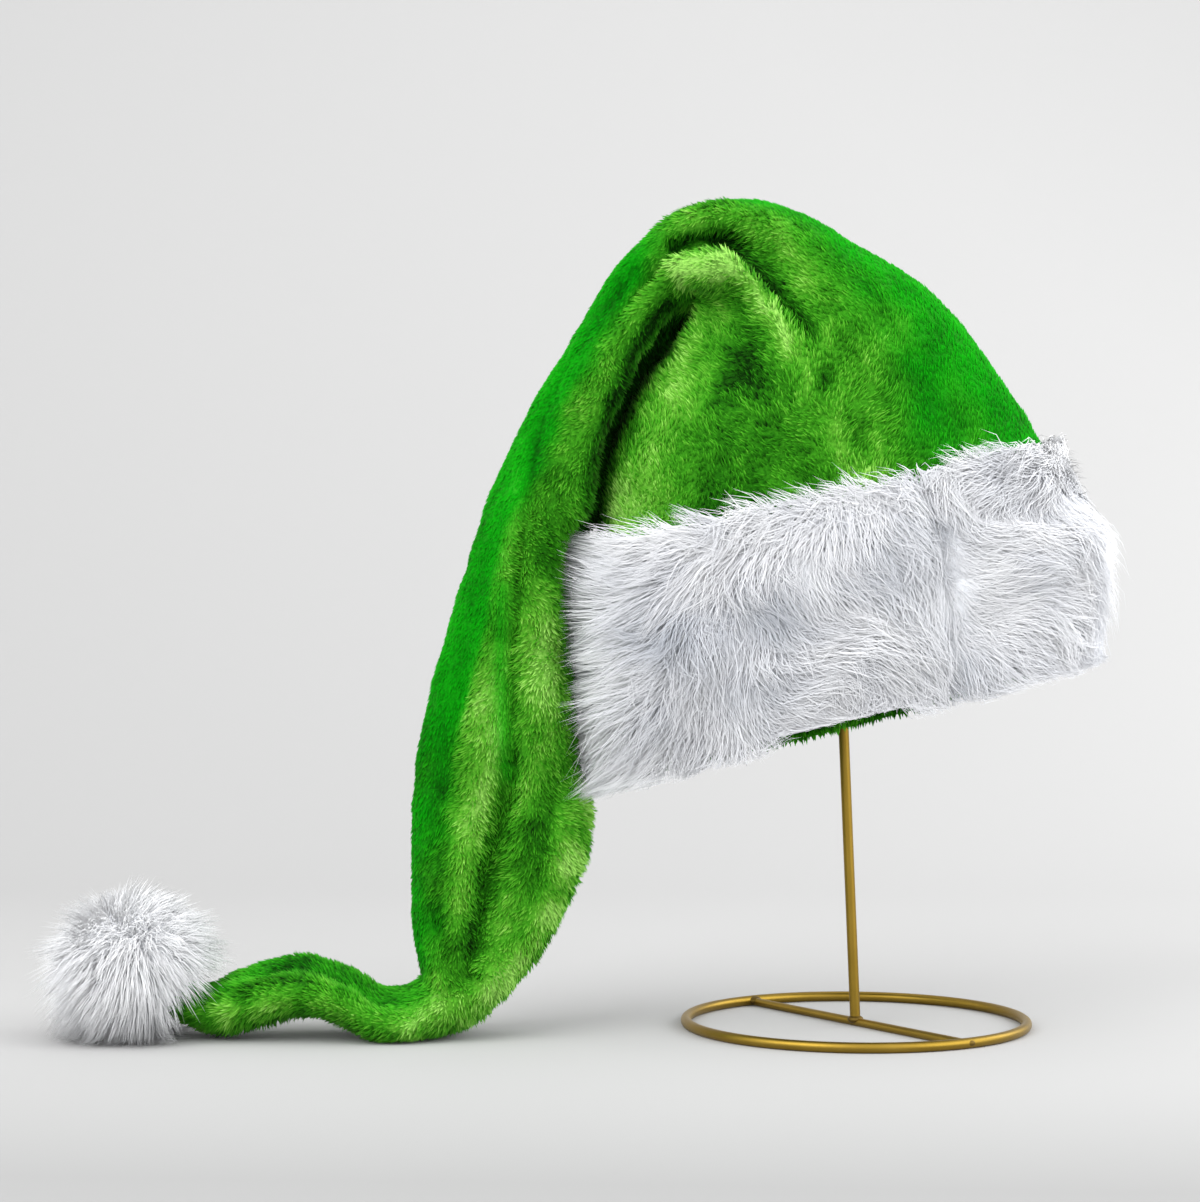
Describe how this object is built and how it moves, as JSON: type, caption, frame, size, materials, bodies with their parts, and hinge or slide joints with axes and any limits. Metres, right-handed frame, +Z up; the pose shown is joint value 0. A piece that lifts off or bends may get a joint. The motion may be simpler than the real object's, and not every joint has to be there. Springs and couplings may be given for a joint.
{
  "type": "santa hat on a wire hat stand",
  "caption": "Long-tailed green plush santa hat with a deep white fur brim and a fur pompom, resting on a gold wire ring-base hat stand.",
  "frame": {"origin": "middle of the stand's ring base on the surface, on the flat underside of the crossbar, below the post", "axes": "+X to the hat's high side, away from the tail; +Y to the hat's back; +Z up"},
  "size_m": [0.5024, 0.1694, 0.3988],
  "materials": {
    "plush": "short soft pile plush, green",
    "brim_fur": "long soft fur, white",
    "pompom_fur": "long soft fur, white",
    "gold_wire": "satin gold-tone wire"
  },
  "bodies": {
    "root": {"plush_cone": "plush", "fur_brim": "brim_fur", "fur_pompom": "pompom_fur", "wire_stand": "gold_wire"}
  },
  "joints": []
}
